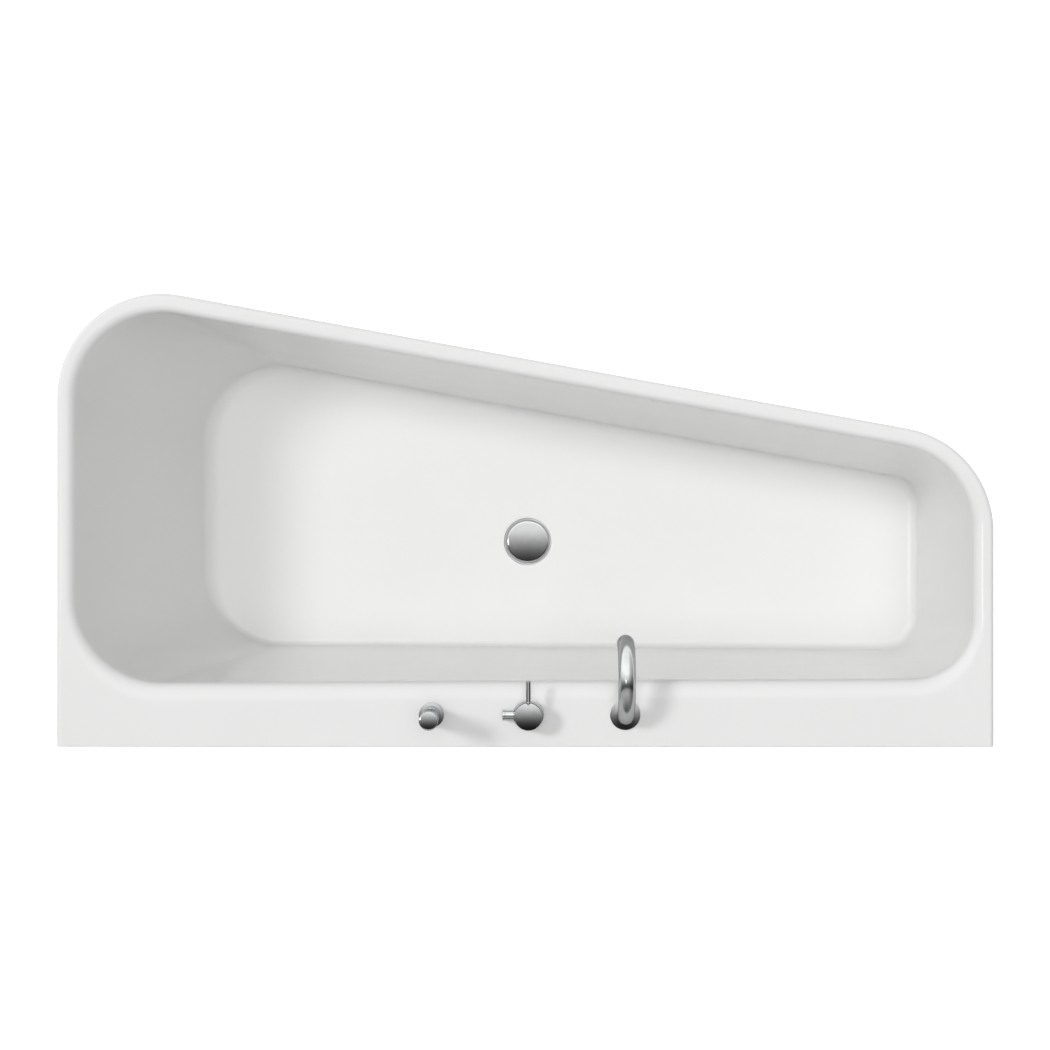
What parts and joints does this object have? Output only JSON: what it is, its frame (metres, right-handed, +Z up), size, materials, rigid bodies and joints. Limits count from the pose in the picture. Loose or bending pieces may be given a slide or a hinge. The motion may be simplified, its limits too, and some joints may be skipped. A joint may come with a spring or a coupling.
{
  "type": "bathtub",
  "caption": "White back-to-wall bathtub with a slanted front, a sloping backrest and a deck that carries a stick hand shower, a lever mixer and a bent spout.",
  "frame": {"origin": "on the floor under the middle of the outline", "axes": "+X towards the wide end with the backrest, +Y towards the wall and +Z up; the slanted free front faces -Y"},
  "size_m": [1.55, 0.75, 0.705],
  "materials": {
    "acrylic": "high gloss sanitary acrylic",
    "apron_acrylic": "high gloss sanitary acrylic",
    "laminate": "sprayed glass fibre and polyester resin",
    "board": "raw chipboard with resin coat",
    "batten": "raw plywood",
    "zinc_steel": "zinc plated sheet",
    "screw_steel": "zinc plated",
    "foot_rubber": "matt moulded",
    "chrome": "polished chrome plate",
    "end_cap_chrome": "polished chrome plate",
    "waste_chrome": "polished chrome plate",
    "seal_rubber": "soft moulded",
    "waste_plastic": "moulded polypropylene",
    "brass": "machined",
    "copper": "drawn copper",
    "washer_fibre": "fibre and rubber",
    "cartridge_plastic": "moulded",
    "spindle_steel": "turned",
    "aerator_plastic": "moulded grey",
    "spray_plastic": "moulded grey with soft nozzles"
  },
  "bodies": {
    "tub": {"tub_shell": "acrylic", "apron": "apron_acrylic", "basin_laminate": "laminate", "rim_laminate": "laminate", "base_board": "board", "deck_batten": "batten", "cross_rail_wide": "zinc_steel", "cross_rail_narrow": "zinc_steel", "apron_bracket_wide": "zinc_steel", "apron_bracket_narrow": "zinc_steel", "wall_bracket_wide": "zinc_steel", "wall_bracket_narrow": "zinc_steel", "rail_screws": "screw_steel", "foot_nuts": "screw_steel", "foot_rod_wide_front": "screw_steel", "foot_rod_wide_wall": "screw_steel", "foot_rod_narrow_front": "screw_steel", "foot_rod_narrow_wall": "screw_steel", "foot_pad_wide_front": "foot_rubber", "foot_pad_wide_wall": "foot_rubber", "foot_pad_narrow_front": "foot_rubber", "foot_pad_narrow_wall": "foot_rubber", "mixer_rosette": "chrome", "mixer_body": "chrome", "spout_rosette": "chrome", "shower_rosette": "chrome", "shower_guide": "chrome", "waste_flange": "waste_chrome", "waste_flange_seal": "seal_rubber", "waste_body_seal": "seal_rubber", "spout_ring_seal": "seal_rubber", "waste_body": "waste_plastic", "trap_nut": "waste_plastic", "trap_bend": "waste_plastic", "outlet_pipe": "waste_plastic", "outlet_nut": "waste_plastic", "spout_shank": "brass", "mixer_nut": "brass", "spout_nut": "brass", "shower_nut": "brass", "hot_tail": "brass", "cold_tail": "brass", "shower_nipple": "brass", "spout_feed_pipe": "copper", "mixer_washer": "washer_fibre", "spout_washer": "washer_fibre", "shower_washer": "washer_fibre", "mixer_cartridge": "cartridge_plastic"},
    "spout": {"spout_tube": "chrome", "spout_aerator": "aerator_plastic"},
    "mixer_turn": {"mixer_spindle": "spindle_steel"},
    "mixer_handle": {"mixer_cap": "chrome", "mixer_lever": "chrome", "mixer_pivot_pin": "spindle_steel"},
    "diverter": {"diverter_knob": "chrome"},
    "shower_handle": {"hand_shower": "chrome", "shower_end_cap": "end_cap_chrome", "spray_face": "spray_plastic", "hose_connector": "chrome"},
    "waste_push_cap": {"waste_cap": "waste_chrome"}
  },
  "joints": [
    {"name": "spout_swivel", "type": "hinge", "parent": "tub", "child": "spout", "pos_m": [-0.165, 0.3215, 0.59], "axis": [0, 0, 1], "range_deg": [-75, 75]},
    {"name": "mixer_temperature", "type": "hinge", "parent": "tub", "child": "mixer_turn", "pos_m": [-0.005, 0.3215, 0.6174], "axis": [0, 0, 1], "range_deg": [-45, 45]},
    {"name": "mixer_flow", "type": "hinge", "parent": "mixer_turn", "child": "mixer_handle", "pos_m": [-0.005, 0.3215, 0.6174], "axis": [-1, 0, 0], "range_deg": [0, 20]},
    {"name": "diverter_pull", "type": "slide", "parent": "tub", "child": "diverter", "axis": [1, 0, 0], "range_m": [0, 0.008]},
    {"name": "shower_lift", "type": "slide", "parent": "tub", "child": "shower_handle", "axis": [0, 0, 1], "range_m": [0, 0.15]},
    {"name": "waste_lift", "type": "slide", "parent": "tub", "child": "waste_push_cap", "axis": [0, 0, 1], "range_m": [0, 0.01]}
  ]
}
